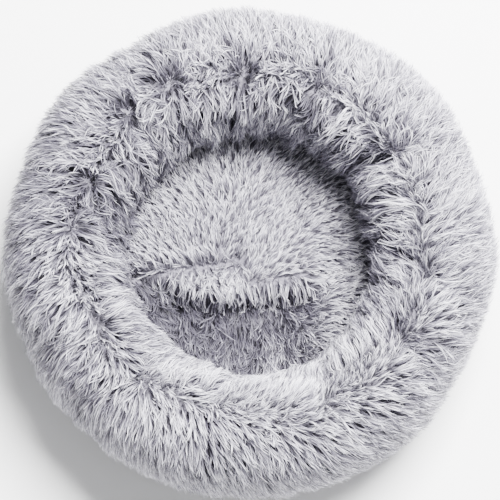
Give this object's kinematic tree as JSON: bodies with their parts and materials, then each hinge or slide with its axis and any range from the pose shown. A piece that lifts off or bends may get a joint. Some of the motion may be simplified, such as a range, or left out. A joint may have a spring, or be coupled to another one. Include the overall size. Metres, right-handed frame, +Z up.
{
  "type": "pet cushion bed",
  "caption": "Round donut-shaped pet bed: a long-pile plush ring filled with fibre round a domed plush seat, on a flat woven base with a filling zip at the back.",
  "frame": {"origin": "centre of the flat underside", "axes": "+Z up, +Y to the back where the zip is, +X to the right seen from the front"},
  "size_m": [0.486, 0.486, 0.172],
  "materials": {
    "plush": "long-pile acrylic plush",
    "fibre": "lofted polyester fibre",
    "nonwoven": "spunbond non-woven",
    "webbing": "woven polyester tape",
    "oxford": "woven polyester oxford",
    "nylon": "satin nylon monofilament",
    "zinc": "nickel-plated zinc",
    "satin": "woven satin"
  },
  "bodies": {
    "bed": {"rim_outer_panel_right": "plush", "rim_outer_panel_back": "plush", "rim_outer_panel_left": "plush", "rim_outer_panel_front": "plush", "rim_inner_panel_right": "plush", "rim_inner_panel_back": "plush", "rim_inner_panel_left": "plush", "rim_inner_panel_front": "plush", "seat_cover": "plush", "rim_filling": "fibre", "seat_filling": "fibre", "seat_lining": "nonwoven", "crest_seam_tape": "webbing", "seat_seam_tape": "webbing", "base_panel": "oxford", "base_gusset": "oxford", "base_binding": "webbing", "zip_tape_upper": "webbing", "zip_tape_lower": "webbing", "zip_coil_upper": "nylon", "zip_coil_lower": "nylon", "zip_top_stop_upper": "zinc", "zip_top_stop_lower": "zinc", "zip_bottom_stop": "zinc", "care_label": "satin"},
    "zip_slider": {"zip_slider": "zinc"},
    "zip_pull": {"zip_pull": "zinc"}
  },
  "joints": [
    {"name": "zip_slide", "type": "hinge", "parent": "bed", "child": "zip_slider", "pos_m": [0, 0, 0.01615], "axis": [0, 0, 1], "range_deg": [0, 64.5]},
    {"name": "pull_flip", "type": "hinge", "parent": "zip_slider", "child": "zip_pull", "pos_m": [0.12377, 0.19574, 0.01615], "axis": [0, 0, -1], "range_deg": [0, 170]}
  ]
}
